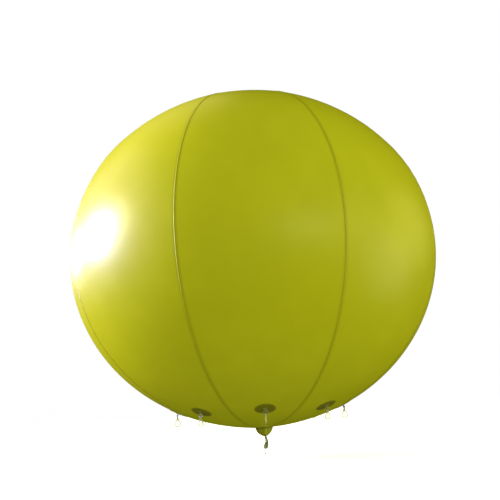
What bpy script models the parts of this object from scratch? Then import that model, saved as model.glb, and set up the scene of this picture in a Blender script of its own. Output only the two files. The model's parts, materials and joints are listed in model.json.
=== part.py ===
# Advertising sky balloon, 2 m across: eight welded gores, a crown disc, a tied filling neck,
# and eight load patches that each carry a hinged ring with a loop of cord tied to it.
# Metres, +Z up along the balloon's axis, origin at the middle of the envelope.

from math import asin, cos, pi, radians, sin

import bpy
import bmesh
from mathutils import Matrix, Vector

for old in list(bpy.data.objects):
    bpy.data.objects.remove(old, do_unlink=True)

# Driving dimensions of the envelope
RADIUS = 1.0            # from the axis to the middle of a gore, at the equator
HALF_HEIGHT = 0.922     # from the centre to either pole
GORES = 8
FLATNESS = 0.10         # 0 is a round section, 1 is a straight-sided one
SHELL = 0.010           # thickness of the envelope's wall
SEAM_GAP = 0.0004       # between the edges of neighbouring gores
SEAT_GAP = 0.0003       # between a piece and the surface that it lies on
ROW_STEPS = 26          # facets of a gore from pole to pole
COLUMN_STEPS = 6        # facets across a gore
POLE_HOLE_RADIUS = 0.030

# Lapped seams, crown disc and load patches
SEAM_WIDTH = 0.011
SEAM_THICKNESS = 0.0012
SEAM_SEAT = 0.0005      # of a seam's underside over the ridge
SEAM_TOP_RADIUS = 0.066
SEAM_BOTTOM_RADIUS = 0.058
CROWN_RADIUS = 0.060
CROWN_TOP = 0.0030      # height of the disc's flat face over the pole
PATCH_RADIUS = 0.055
PATCH_THICKNESS = 0.002
PATCH_POINTS = 28
CROWN_POINTS = 32
DISC_REACH = 0.020      # of a disc above and below its seat, before it is cut to the film
PATCH_ANGLE = radians(26.6)     # parametric angle from the bottom pole

# Webbing tab that holds a ring, in the patch's own frame
TAB_WIDTH = 0.020
TAB_FOOT = 0.026
TAB_FOOT_THICKNESS = 0.0015
TAB_STEM = 0.0036
TAB_LOOP_RADIUS = 0.0044
TAB_LOOP_STEPS = 10
TAB_BORE_RADIUS = 0.0025
BORE_POINTS = 10
PIN_HEIGHT = 0.013      # of the ring's straight bar over the film

# D-shaped ring: a straight bar, two short sides and a half-round bow
WIRE_RADIUS = 0.0018
RING_HALF_WIDTH = 0.013
RING_SIDE = 0.003
RING_CORNER = 0.0015
BOW_STEPS = 9           # odd, so that the bow's lowest stretch is flat
WIRE_SIDES = 8

# Loop of cord tied under each ring
CORD_RADIUS = 0.002
LOOP_STEPS = 24

# Filling neck and its lashing
NECK_POINTS = 24
NECK_FOLDS = 8
LASHING_TURNS = 5
TURN_STEPS = 4
LASHING_WIRE = 0.0022
LASHING_POINTS = 16
LASHING_TOP = 0.06      # shares of the throat's length that the turns take up
LASHING_BOTTOM = 0.90
TAIL_RADIUS = 0.00175
TAIL_STEPS = 10

GORE_TURN = 2 * pi / GORES
HALF_GORE = GORE_TURN / 2

# Each section of the neck: height, sideways place, radius, depth of the folds
NECK_SECTIONS = [
    {"z": -0.9150, "x": 0.0110, "radius": 0.0465, "fold": 0.0},
    {"z": -0.9270, "x": 0.0110, "radius": 0.0465, "fold": 0.0},
    {"z": -0.9375, "x": 0.0110, "radius": 0.0430, "fold": 0.0006},
    {"z": -0.9475, "x": 0.0112, "radius": 0.0370, "fold": 0.0015},
    {"z": -0.9555, "x": 0.0116, "radius": 0.0295, "fold": 0.0020},
    {"z": -0.9620, "x": 0.0125, "radius": 0.0205, "fold": 0.0020},
    {"z": -0.9680, "x": 0.0145, "radius": 0.0110, "fold": 0.0010},
    {"z": -0.9720, "x": 0.0160, "radius": 0.0045, "fold": 0.0},
    {"z": -0.9960, "x": 0.0235, "radius": 0.0045, "fold": 0.0},
    {"z": -1.0020, "x": 0.0215, "radius": 0.0080, "fold": 0.0010},
    {"z": -1.0120, "x": 0.0180, "radius": 0.0108, "fold": 0.0015},
    {"z": -1.0260, "x": 0.0150, "radius": 0.0104, "fold": 0.0015},
    {"z": -1.0350, "x": 0.0140, "radius": 0.0085, "fold": 0.0010},
]
THROAT_TOP = Vector((0.0160, 0.0, -0.9720))
THROAT_BOTTOM = Vector((0.0235, 0.0, -0.9960))
THROAT_RADIUS = 0.0045

# Route of the cord end that hangs from the lashing
TAIL_ROUTE = [
    Vector((0.0166, -0.0065, -0.9890)),
    Vector((0.0134, -0.0108, -0.9935)),
    Vector((0.0110, -0.0140, -1.0020)),
    Vector((0.0102, -0.0149, -1.0130)),
    Vector((0.0104, -0.0146, -1.0290)),
    Vector((0.0110, -0.0136, -1.0450)),
    Vector((0.0107, -0.0136, -1.0620)),
]

# One side of a cord loop, from the ring down to its lowest point, in the ring's own frame
LOOP_SIDE = [
    {"out": 0.0030, "below_bow": 0.0003},
    {"out": 0.0044, "below_bow": 0.0055},
    {"out": 0.0090, "below_bow": 0.0135},
    {"out": 0.0138, "below_bow": 0.0215},
    {"out": 0.0152, "below_bow": 0.0290},
    {"out": 0.0108, "below_bow": 0.0362},
    {"out": 0.0000, "below_bow": 0.0392},
]


def material(name, colour, roughness, metallic):
    finish = bpy.data.materials.new(name)
    finish.use_nodes = True
    shader = finish.node_tree.nodes["Principled BSDF"]
    shader.inputs["Base Color"].default_value = (*colour, 1.0)
    shader.inputs["Roughness"].default_value = roughness
    shader.inputs["Metallic"].default_value = metallic
    return finish


FILM = material("film", (0.362, 0.366, 0.008), 0.32, 0.0)
SEAM_FILM = material("seam film", (0.230, 0.230, 0.005), 0.38, 0.0)
PATCH_FILM = material("patch film", (0.098, 0.098, 0.003), 0.45, 0.0)
NECK_FILM = material("neck film", (0.200, 0.210, 0.006), 0.40, 0.0)
STEEL = material("ring steel", (0.560, 0.570, 0.580), 0.28, 1.0)
CREAM_CORD = material("cream cord", (0.640, 0.660, 0.380), 0.75, 0.0)
GREY_CORD = material("grey cord", (0.260, 0.270, 0.330), 0.70, 0.0)


def add_object(name, data, finish, turn=0.0):
    """Make an object of a mesh or a curve, turned about the balloon's axis."""
    thing = bpy.data.objects.new(name, data)
    bpy.context.scene.collection.objects.link(thing)
    if not data.materials:
        data.materials.append(finish)
    thing.rotation_euler = (0.0, 0.0, turn)
    return thing


def mesh_of(name, build):
    """Run a bmesh build function and return the mesh, with its faces out."""
    shape = bmesh.new()
    build(shape)
    bmesh.ops.recalc_face_normals(shape, faces=shape.faces)
    mesh = bpy.data.meshes.new(name)
    shape.to_mesh(mesh)
    shape.free()
    return mesh


def smooth(mesh, angle=30):
    mesh.shade_smooth()
    mesh.set_sharp_from_angle(angle=radians(angle))


# The envelope's surface

def row_angles():
    """Parametric angles of the rows, from the top pole's hole to the bottom pole's."""
    hole = asin(POLE_HOLE_RADIUS / RADIUS)
    inner = [pi * i / ROW_STEPS for i in range(1, ROW_STEPS)]
    return [hole, *inner, pi - hole]


def gore_profile(across):
    """Ratio of the radius at an angle across a gore to that at its middle."""
    middle = 1 - FLATNESS + FLATNESS * cos(HALF_GORE)
    return (1 - FLATNESS + FLATNESS * cos(HALF_GORE) / cos(across)) / middle


def surface_point(row_angle, across, lift=0.0):
    """Point on the envelope; a gore's middle faces -Y, and lift is along the surface's normal."""
    radius = RADIUS * sin(row_angle) * gore_profile(across)
    outward = Vector((sin(across), -cos(across), 0.0))
    normal = outward * (sin(row_angle) / RADIUS)
    normal.z = cos(row_angle) / HALF_HEIGHT
    place = outward * radius
    place.z = HALF_HEIGHT * cos(row_angle)
    return place + normal.normalized() * lift


def row_mix(row):
    """Two neighbouring rows' angles and the share of the second, for a fractional row number."""
    angles = row_angles()
    first = min(int(row), ROW_STEPS - 1)
    return angles[first], angles[first + 1], row - first


def row_at_radius(radius, bottom=False):
    """Fractional row number where a facet at a gore's middle reaches a radius near a pole."""
    angles = row_angles()
    near, far = RADIUS * sin(angles[0]), RADIUS * sin(angles[1])
    share = (radius - near) / (far - near)
    return ROW_STEPS - share if bottom else share


def build_gore(shape):
    """One gore: an outer and an inner sheet, joined round the edge."""
    sheets = []
    for lift in (0.0, -SHELL):
        sheet = []
        for row_angle in row_angles():
            edge = HALF_GORE - SEAM_GAP / 2 / (RADIUS * sin(row_angle))
            columns = [edge * (2 * j / COLUMN_STEPS - 1) for j in range(COLUMN_STEPS + 1)]
            sheet.append([shape.verts.new(surface_point(row_angle, a, lift)) for a in columns])
        sheets.append(sheet)
    outer, inner = sheets
    for i in range(ROW_STEPS):
        for j in range(COLUMN_STEPS):
            for sheet in sheets:
                corners = (sheet[i][j], sheet[i + 1][j], sheet[i + 1][j + 1], sheet[i][j + 1])
                shape.faces.new(corners)
        for j in (0, COLUMN_STEPS):
            shape.faces.new((outer[i][j], outer[i + 1][j], inner[i + 1][j], inner[i][j]))
    for i in (0, ROW_STEPS):
        for j in range(COLUMN_STEPS):
            shape.faces.new((outer[i][j], outer[i][j + 1], inner[i][j + 1], inner[i][j]))


def build_whole_envelope(shape, lift):
    """The envelope as one closed body, lifted off its true surface, for cutting what lies on it."""
    across = [HALF_GORE * (2 * j / COLUMN_STEPS - 1) for j in range(COLUMN_STEPS)]
    rows = []
    for row_angle in row_angles():
        row = []
        for gore in range(GORES):
            turn = Matrix.Rotation(gore * GORE_TURN, 3, "Z")
            row += [shape.verts.new(turn @ surface_point(row_angle, a, lift)) for a in across]
        rows.append(row)
    count = len(rows[0])
    for upper, lower in zip(rows, rows[1:]):
        for j in range(count):
            k = (j + 1) % count
            shape.faces.new((upper[j], lower[j], lower[k], upper[k]))
    shape.faces.new(rows[0])
    shape.faces.new(rows[-1])


def build_seam(shape):
    """A flat strip over the ridge where two gores lap, bent along the ridge."""
    rows = [row_at_radius(SEAM_TOP_RADIUS), *range(1, ROW_STEPS)]
    rows.append(row_at_radius(SEAM_BOTTOM_RADIUS, bottom=True))
    step = 2 * HALF_GORE / COLUMN_STEPS
    rings = []
    for row in rows:
        upper, lower, share = row_mix(row)
        ring = []
        for lift, sides in ((SEAM_SEAT, (-1, 0, 1)), (SEAM_THICKNESS, (1, 0, -1))):
            ridge = surface_point(upper, -HALF_GORE, lift).lerp(
                surface_point(lower, -HALF_GORE, lift), share)
            inside = surface_point(upper, step - HALF_GORE, lift).lerp(
                surface_point(lower, step - HALF_GORE, lift), share)
            turned = Matrix.Rotation(HALF_GORE, 3, "Z")
            ridge, inside = turned @ ridge, turned @ inside
            half = (inside - ridge).normalized() * (SEAM_WIDTH / 2)
            mirrored = Vector((-half.x, half.y, half.z))
            places = {-1: ridge + mirrored, 0: ridge, 1: ridge + half}
            ring += [shape.verts.new(places[side]) for side in sides]
        rings.append(ring)
    for first, second in zip(rings, rings[1:]):
        for j in range(6):
            k = (j + 1) % 6
            shape.faces.new((first[j], first[k], second[k], second[j]))
    shape.faces.new(rings[0])
    shape.faces.new(rings[-1])


# Booleans that are worked out once and shared

def finished(thing):
    """Return the mesh of an object with its modifiers worked in, and delete the object."""
    graph = bpy.context.evaluated_depsgraph_get()
    mesh = bpy.data.meshes.new_from_object(thing.evaluated_get(graph))
    bpy.data.objects.remove(thing, do_unlink=True)
    return mesh


def cut(thing, cutter, operation):
    change = thing.modifiers.new(operation.lower(), "BOOLEAN")
    change.operation = operation
    change.solver = "EXACT"
    change.object = cutter


def cutter_object(name, mesh):
    guide = add_object(name, mesh, FILM)
    guide.hide_render = True
    guide.display_type = "WIRE"
    return guide


def build_disc(shape, radius, low, high, segments):
    bmesh.ops.create_cone(shape, cap_ends=True, segments=segments, radius1=radius,
                          radius2=radius, depth=high - low,
                          matrix=Matrix.Translation((0.0, 0.0, (low + high) / 2)))


def patch_frame():
    """Frame of a load patch on the gore that faces -Y: X along the hinge, Z out of the film."""
    angle = pi - PATCH_ANGLE
    place = surface_point(angle, 0.0)
    normal = (surface_point(angle, 0.0, 1.0) - place).normalized()
    side = Vector((1.0, 0.0, 0.0))
    along = normal.cross(side)
    frame = Matrix((side, along, normal)).transposed().to_4x4()
    return Matrix.Translation(place) @ frame


def build_tab(shape):
    """Webbing folded round the bar: foot, stem and round loop, one outline pushed out in X."""
    foot_top = PATCH_THICKNESS + SEAT_GAP + TAB_FOOT_THICKNESS
    half_foot, half_stem = TAB_FOOT / 2, TAB_STEM / 2
    start = asin(half_stem / TAB_LOOP_RADIUS)
    outline = [(-half_foot, SEAT_GAP * 2), (half_foot, SEAT_GAP * 2), (half_foot, foot_top),
               (half_stem, foot_top)]
    for i in range(TAB_LOOP_STEPS + 1):
        angle = start + (2 * pi - 2 * start) * i / TAB_LOOP_STEPS
        outline.append((TAB_LOOP_RADIUS * sin(angle), PIN_HEIGHT - TAB_LOOP_RADIUS * cos(angle)))
    outline += [(-half_stem, foot_top), (-half_foot, foot_top)]
    face = shape.faces.new([shape.verts.new((-TAB_WIDTH / 2, y, z)) for y, z in outline])
    pushed = bmesh.ops.extrude_face_region(shape, geom=[face])
    moved = [v for v in pushed["geom"] if isinstance(v, bmesh.types.BMVert)]
    bmesh.ops.translate(shape, verts=moved, vec=(TAB_WIDTH, 0.0, 0.0))


def build_bore(shape):
    turn = Matrix.Translation((0.0, 0.0, PIN_HEIGHT)) @ Matrix.Rotation(pi / 2, 4, "Y")
    bmesh.ops.create_cone(shape, cap_ends=True, segments=BORE_POINTS, radius1=TAB_BORE_RADIUS,
                          radius2=TAB_BORE_RADIUS, depth=TAB_WIDTH * 2, matrix=turn)


def load_patch_mesh():
    """A disc that follows the film, with the webbing tab on it."""
    frame = patch_frame()
    over = cutter_object("patch over", mesh_of(
        "patch over", lambda s: build_whole_envelope(s, SEAT_GAP + PATCH_THICKNESS)))
    under = cutter_object("patch under", mesh_of(
        "patch under", lambda s: build_whole_envelope(s, SEAT_GAP)))
    disc = add_object("disc", mesh_of(
        "disc", lambda s: build_disc(s, PATCH_RADIUS, -DISC_REACH, DISC_REACH, PATCH_POINTS)),
        PATCH_FILM)
    disc.data.transform(frame)
    tab = add_object("tab", mesh_of("tab", build_tab), PATCH_FILM)
    bore = cutter_object("bore", mesh_of("bore", build_bore))
    for thing in (tab, bore):
        thing.data.transform(frame)
    cut(disc, over, "INTERSECT")
    cut(disc, under, "DIFFERENCE")
    cut(disc, tab, "UNION")
    cut(disc, bore, "DIFFERENCE")
    mesh = finished(disc)
    for thing in (over, under, tab, bore):
        bpy.data.objects.remove(thing, do_unlink=True)
    return mesh


def crown_mesh():
    """A flat-topped disc whose underside follows the gores' top ends."""
    under = cutter_object("crown under", mesh_of(
        "crown under", lambda s: build_whole_envelope(s, SEAT_GAP)))
    disc = add_object("disc", mesh_of("disc", lambda s: build_disc(
        s, CROWN_RADIUS, HALF_HEIGHT - DISC_REACH, HALF_HEIGHT + CROWN_TOP, CROWN_POINTS)),
        SEAM_FILM)
    cut(disc, under, "DIFFERENCE")
    mesh = finished(disc)
    bpy.data.objects.remove(under, do_unlink=True)
    return mesh


# Round sections lofted in height

def section_points(shape, centre, radius, fold=0.0, folds=NECK_FOLDS, points=NECK_POINTS):
    ring = []
    for i in range(points):
        angle = 2 * pi * i / points
        reach = radius + fold * cos(folds * angle)
        ring.append(shape.verts.new(centre + Vector((reach * cos(angle), reach * sin(angle), 0.0))))
    return ring


def skin_between(shape, first, second):
    count = len(first)
    for j in range(count):
        k = (j + 1) % count
        shape.faces.new((first[j], first[k], second[k], second[j]))


def build_neck(shape):
    rings = [section_points(shape, Vector((s["x"], 0.0, s["z"])), s["radius"], s["fold"])
             for s in NECK_SECTIONS]
    for first, second in zip(rings, rings[1:]):
        skin_between(shape, first, second)
    shape.faces.new(rings[0])
    shape.faces.new(rings[-1])


def neck_mesh():
    """The gathered neck, its top cut to the envelope's underside."""
    under = cutter_object("neck under", mesh_of(
        "neck under", lambda s: build_whole_envelope(s, SEAT_GAP)))
    neck = add_object("neck solid", mesh_of("neck solid", build_neck), NECK_FILM)
    cut(neck, under, "DIFFERENCE")
    mesh = finished(neck)
    bpy.data.objects.remove(under, do_unlink=True)
    return mesh


def build_lashing(shape):
    """Turns of cord side by side round the throat, as one ring with a scalloped outside."""
    inner = THROAT_RADIUS + SEAT_GAP
    steps = LASHING_TURNS * TURN_STEPS
    rings = []
    for i in range(steps + 1):
        share = LASHING_TOP + (LASHING_BOTTOM - LASHING_TOP) * i / steps
        bulge = abs(sin(pi * i / TURN_STEPS))
        centre = THROAT_TOP.lerp(THROAT_BOTTOM, share)
        rings.append(section_points(shape, centre, inner + LASHING_WIRE * (0.5 + 0.5 * bulge),
                                    points=LASHING_POINTS))
    for share in (LASHING_BOTTOM, LASHING_TOP):
        centre = THROAT_TOP.lerp(THROAT_BOTTOM, share)
        rings.append(section_points(shape, centre, inner, points=LASHING_POINTS))
    for first, second in zip(rings, rings[1:] + rings[:1]):
        skin_between(shape, first, second)


# Rings and cords

def ring_path():
    """Centre line of a ring in its own plane: X along the bar, Y down towards the bow."""
    width, corner = RING_HALF_WIDTH, RING_CORNER
    path = [(-width + corner, 0.0), (width - corner, 0.0), (width, corner)]
    for i in range(BOW_STEPS + 1):
        angle = pi * i / BOW_STEPS
        path.append((width * cos(angle), RING_SIDE + width * sin(angle)))
    path.append((-width, corner))
    return path


def build_ring(shape):
    """A closed tube along the ring's path, with a flat facet on each side of its wire."""
    path = [Vector(point) for point in ring_path()]
    sections = []
    for i, here in enumerate(path):
        before = (here - path[i - 1]).normalized()
        after = (path[(i + 1) % len(path)] - here).normalized()
        along = (before + after).normalized()
        side = Vector((along.y, -along.x))
        mitre = 1 / side.dot(Vector((before.y, -before.x)))
        section = []
        for j in range(WIRE_SIDES):
            angle = 2 * pi * (j + 0.5) / WIRE_SIDES
            spot = here + side * (WIRE_RADIUS * mitre * cos(angle))
            section.append(shape.verts.new((spot.x, WIRE_RADIUS * sin(angle), -spot.y)))
        sections.append(section)
    for first, second in zip(sections, sections[1:] + sections[:1]):
        skin_between(shape, first, second)


def loop_route():
    """Route of a cord loop in the ring's frame: down one side from the bow and up the other."""
    lowest = RING_SIDE + RING_HALF_WIDTH * cos(pi / 2 / BOW_STEPS)
    bow_bottom = lowest + WIRE_RADIUS * cos(pi / WIRE_SIDES)
    side = [Vector((0.0, -s["out"], -bow_bottom - s["below_bow"])) for s in LOOP_SIDE]
    back = [Vector((p.x, -p.y, p.z)) for p in reversed(side[:-1])]
    return side + back


def smooth_route(route, steps):
    """Points at even shares of a smooth curve that passes through every point of a route."""
    route = [2 * route[0] - route[1], *route, 2 * route[-1] - route[-2]]
    spans = len(route) - 3
    points = []
    for i in range(steps + 1):
        place = min(spans * i / steps, spans - 1e-9)
        first = int(place)
        t = place - first
        a, b, c, d = route[first:first + 4]
        points.append(0.5 * (2 * b + (c - a) * t + (2 * a - 5 * b + 4 * c - d) * t ** 2
                             + (3 * b - a - 3 * c + d) * t ** 3))
    return points


def cord_curve(name, points, radius, finish):
    curve = bpy.data.curves.new(name, "CURVE")
    curve.dimensions = "3D"
    line = curve.splines.new("POLY")
    line.points.add(len(points) - 1)
    for spot, point in zip(line.points, points):
        spot.co = (*point, 1.0)
    curve.bevel_depth = radius
    curve.bevel_resolution = 2
    curve.use_fill_caps = True
    curve.materials.append(finish)
    return curve


# The whole balloon

gore_mesh = mesh_of("gore", build_gore)
smooth(gore_mesh)
seam_mesh = mesh_of("seam", build_seam)
smooth(seam_mesh)
patch_mesh = load_patch_mesh()
ring_mesh = mesh_of("ring", build_ring)
smooth(ring_mesh, angle=60)
loop_line = smooth_route(loop_route(), LOOP_STEPS)
cord_loop = cord_curve("cord loop", loop_line, CORD_RADIUS, CREAM_CORD)
pin_place = patch_frame() @ Vector((0.0, 0.0, PIN_HEIGHT))

for number in range(GORES):
    turn = number * GORE_TURN
    add_object(f"gore_{number}", gore_mesh, FILM, turn)
    add_object(f"seam_{number}", seam_mesh, SEAM_FILM, turn + HALF_GORE)
    add_object(f"load_patch_{number}", patch_mesh, PATCH_FILM, turn)
    ring = add_object(f"ring_{number}", ring_mesh, STEEL, turn)
    ring.location = Matrix.Rotation(turn, 3, "Z") @ pin_place
    cord = add_object(f"cord_loop_{number}", cord_loop, CREAM_CORD)
    cord.parent = ring

add_object("crown_disc", crown_mesh(), SEAM_FILM)
neck_solid = neck_mesh()
smooth(neck_solid, angle=40)
add_object("neck", neck_solid, NECK_FILM)
lashing = mesh_of("lashing", build_lashing)
smooth(lashing, angle=60)
add_object("neck_lashing", lashing, GREY_CORD)
tail = cord_curve("neck cord", smooth_route(TAIL_ROUTE, TAIL_STEPS), TAIL_RADIUS, GREY_CORD)
add_object("neck_cord", tail, GREY_CORD)
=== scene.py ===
# %% [markdown]
# This lesson dresses a round advertising balloon: a 2 m envelope of eight welded film gores,
# lapped seams, a crown disc, a tied filling neck, and eight load patches that each carry
# a hinged ring with a loop of cord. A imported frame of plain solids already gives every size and
# place. Each piece could be measured by hand again, but it is simpler and safer to load the
# frame once, and to note the box that the finished object has to stay in.

# %% Load the frame
import json
from math import asin, cos, exp, pi, radians, sin

import bpy
import bmesh
from mathutils import Matrix, Vector


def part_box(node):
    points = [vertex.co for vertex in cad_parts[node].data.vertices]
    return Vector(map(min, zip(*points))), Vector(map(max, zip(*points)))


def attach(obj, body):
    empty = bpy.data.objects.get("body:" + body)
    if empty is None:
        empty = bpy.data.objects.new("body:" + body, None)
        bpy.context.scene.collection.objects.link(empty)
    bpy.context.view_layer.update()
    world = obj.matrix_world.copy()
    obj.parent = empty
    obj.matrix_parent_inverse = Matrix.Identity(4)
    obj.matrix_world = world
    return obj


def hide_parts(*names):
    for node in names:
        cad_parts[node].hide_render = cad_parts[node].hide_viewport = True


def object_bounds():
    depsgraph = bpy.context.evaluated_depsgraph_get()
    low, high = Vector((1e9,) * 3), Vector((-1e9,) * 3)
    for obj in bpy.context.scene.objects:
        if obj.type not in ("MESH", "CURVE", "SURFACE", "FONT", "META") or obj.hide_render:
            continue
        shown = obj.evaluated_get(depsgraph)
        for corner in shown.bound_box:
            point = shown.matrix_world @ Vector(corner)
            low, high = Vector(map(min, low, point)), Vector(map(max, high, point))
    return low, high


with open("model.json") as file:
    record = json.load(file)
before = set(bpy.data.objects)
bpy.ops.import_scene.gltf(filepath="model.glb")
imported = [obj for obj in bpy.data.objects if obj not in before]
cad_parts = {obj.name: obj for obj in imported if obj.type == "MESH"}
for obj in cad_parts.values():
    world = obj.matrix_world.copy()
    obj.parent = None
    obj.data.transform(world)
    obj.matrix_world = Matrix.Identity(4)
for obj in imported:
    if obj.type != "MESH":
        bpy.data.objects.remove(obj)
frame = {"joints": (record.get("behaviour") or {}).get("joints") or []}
cad_low, cad_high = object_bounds()
print("frame box", [round(v, 3) for v in (*cad_low, *cad_high)])

# %% [markdown]
# A balloon like this is welded from equal gores, so a few sizes give all the others: the count
# of gores, the envelope's radius and half its height. They could be typed in, but then
# the pieces would stop fitting when the frame changes. They are read from the frame's boxes
# instead. Gore 0 faces -Y, so its lowest Y is the radius. The crown disc lies on the top pole,
# a known thickness over it, which gives half the height.

# %% Sizes from the frame
GORES = 8
GORE_TURN = 2 * pi / GORES
HALF_GORE = GORE_TURN / 2
CROWN_TOP = 0.003                  # of the crown disc, over the pole
RADIUS = -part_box("gore_0")[0].y
HALF_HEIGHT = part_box("crown_disc")[1].z - CROWN_TOP
FLATNESS = 0.10                    # across a gore: 0 is round and 1 is flat
PATCH_ANGLE = radians(26.6)        # from the bottom pole up to a load patch
PIN_PLACES = [Vector(joint["pos_m"]) for joint in frame["joints"]]
print("radius", round(RADIUS, 4), "half height", round(HALF_HEIGHT, 4), "pins", len(PIN_PLACES))

# %% [markdown]
# The photograph looks up at the balloon by ten degrees from a few metres away, and the balloon
# leans by three degrees in it. A camera can be aimed at its subject with a constraint, but that
# can't hold the lean. So this camera gets three axes of its own, right, up and back, worked out
# from the angles. It comes first.

# %% Camera
PHOTO_SIDE = 500
SENSOR = 36.0
PIXELS_PER_METRE = 178.37          # at the envelope's centre
CENTRE_PIXEL = (252.83, 259.77)    # where that centre falls in the picture
DISTANCE = 4.652 * RADIUS
LOOK_UP = radians(10.23)
LEAN = radians(3.14)
VIEW_TURN = radians(2.65)

level_right = Vector((cos(VIEW_TURN), -sin(VIEW_TURN), 0.0))
level_ahead = Vector((sin(VIEW_TURN), cos(VIEW_TURN), 0.0))
ahead = level_ahead * cos(LOOK_UP) + Vector((0.0, 0.0, sin(LOOK_UP)))
above = -level_ahead * sin(LOOK_UP) + Vector((0.0, 0.0, cos(LOOK_UP)))
right = level_right * cos(LEAN) - above * sin(LEAN)
up = level_right * sin(LEAN) + above * cos(LEAN)

camera = bpy.data.objects.new("camera", bpy.data.cameras.new("camera"))
bpy.context.scene.collection.objects.link(camera)
camera.matrix_world = (Matrix.Translation(-ahead * DISTANCE)
                       @ Matrix((right, up, -ahead)).transposed().to_4x4())
camera.data.sensor_width = SENSOR
camera.data.lens = PIXELS_PER_METRE * DISTANCE / PHOTO_SIDE * SENSOR
camera.data.shift_x = (PHOTO_SIDE / 2 - CENTRE_PIXEL[0]) / PHOTO_SIDE
camera.data.shift_y = (CENTRE_PIXEL[1] - PHOTO_SIDE / 2) / PHOTO_SIDE
bpy.context.scene.camera = camera
print("camera at", [round(v, 2) for v in camera.location], "lens", round(camera.data.lens, 1))

# %% [markdown]
# Every finish, and every shape that repeats, is a tree of nodes. Nodes could be made and linked
# one by one, at three or four lines for each. Here one function makes any node from its type,
# its settings, and the value or link of each socket, and hands it back ready to be read.

# %% One function for any node


class Node:
    """A node whose outputs are read by name or number, as Values."""

    def __init__(self, tree, node):
        self.tree = tree
        self.node = node

    def __getitem__(self, key):
        return Value(self.tree, self.node.outputs[key])


def add_node(tree, kind, settings=None, inputs=None):
    node = tree.nodes.new(kind)
    for name, value in (settings or {}).items():
        setattr(node, name, value)
    for key, value in (inputs or {}).items():
        if isinstance(value, Value):
            tree.links.new(value.socket, node.inputs[key])
        else:
            node.inputs[key].default_value = value
    return Node(tree, node)


print("node function ready")

# %% [markdown]
# A pattern is a sum: a wave times a mask, plus some noise. It could be wired from Math nodes by
# hand, but such a tree is hard to read. One small class wraps a node's output instead, and
# its operators add the Math nodes, so that a mask is simply written as 1 - mask * 0.5.
# The same sums serve in finishes and in Geometry Nodes.

# %% Sums for node trees


def maths(tree, operation, *terms):
    return add_node(tree, "ShaderNodeMath", {"operation": operation}, dict(enumerate(terms)))[0]


class Value:
    """A node's output that can be written into sums."""

    def __init__(self, tree, socket):
        self.tree = tree
        self.socket = socket

    def maths(self, operation, *others):
        """A Math node that has this value as its first term."""
        return maths(self.tree, operation, self, *others)

    def __add__(self, other):
        return self.maths("ADD", other)

    def __sub__(self, other):
        return self.maths("SUBTRACT", other)

    def __rsub__(self, other):
        return maths(self.tree, "SUBTRACT", other, self)

    def __mul__(self, other):
        return self.maths("MULTIPLY", other)

    def __truediv__(self, other):
        return self.maths("DIVIDE", other)

    def __rtruediv__(self, other):
        return maths(self.tree, "DIVIDE", other, self)

    def __pow__(self, other):
        return self.maths("POWER", other)

    def __neg__(self):
        return self.maths("MULTIPLY", -1.0)

    __radd__ = __add__
    __rmul__ = __mul__

    def sine(self):
        return self.maths("SINE")

    def cosine(self):
        return self.maths("COSINE")

    def absolute(self):
        return self.maths("ABSOLUTE")

    def exponent(self):
        return self.maths("EXPONENT")

    def bell(self, centre, width):
        """1 at the centre and a soft fall to 0 on both sides."""
        return (-(((self - centre) / width) ** 2)).exponent()

    def within(self, low, high):
        """0 at low, 1 at high, and a smooth rise between them."""
        return add_node(self.tree, "ShaderNodeMapRange", {"interpolation_type": "SMOOTHSTEP"},
                        {0: self, 1: low, 2: high})[0]


print("sums ready")

# %% [markdown]
# All finishes start alike: a new material with one Principled shader. What stays the same all
# over a piece could go into the sums too, but it is set on the shader's own sockets, which
# keeps the trees small. What changes over the surface is worked out by a short function for
# each finish, and fed in with the few helpers here.

# %% Start of every finish


def new_finish(name, **constants):
    """Return a material, its tree and its Principled node, with constants on the sockets."""
    finish = bpy.data.materials.new(name)
    finish.use_nodes = True
    tree = finish.node_tree
    shader = tree.nodes["Principled BSDF"]
    for key, value in constants.items():
        shader.inputs[key.replace("_", " ")].default_value = value
    return finish, tree, shader


def feed(tree, shader, **values):
    for key, value in values.items():
        tree.links.new(value.socket, shader.inputs[key.replace("_", " ")])


def mixed(tree, share, first, second):
    """Mix two colours, each a triple or a Value, by a share."""
    inputs = {0: share}
    for key, colour in ((6, first), (7, second)):
        inputs[key] = colour if isinstance(colour, Value) else (*colour, 1.0)
    return add_node(tree, "ShaderNodeMix", {"data_type": "RGBA"}, inputs)[2]


def bumped(tree, height, strength, distance):
    return add_node(tree, "ShaderNodeBump", {}, {
        "Height": height, "Strength": strength, "Distance": distance})[0]


def noise(tree, place, scale, detail=2.0):
    return add_node(tree, "ShaderNodeTexNoise", {}, {
        "Vector": place, "Scale": scale, "Detail": detail})[0]


def object_place(tree):
    return add_node(tree, "ShaderNodeTexCoord")["Object"]


def attribute(tree, name):
    return add_node(tree, "ShaderNodeAttribute", {"attribute_name": name})["Fac"]


print("finish helpers ready")

# %% [markdown]
# What repeats or follows a rule, such as gores, stitches and braids, is made by Geometry Nodes.
# The trees could be drawn in the node editor, but a script can be read and run again. This class
# starts a tree with a named input for each size. A tree may also take a line of points, which
# is how every cord and ring begins.

# %% Plans for Geometry Nodes
SOCKET_TYPES = {int: "NodeSocketInt", float: "NodeSocketFloat",
                bpy.types.Material: "NodeSocketMaterial"}


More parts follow.
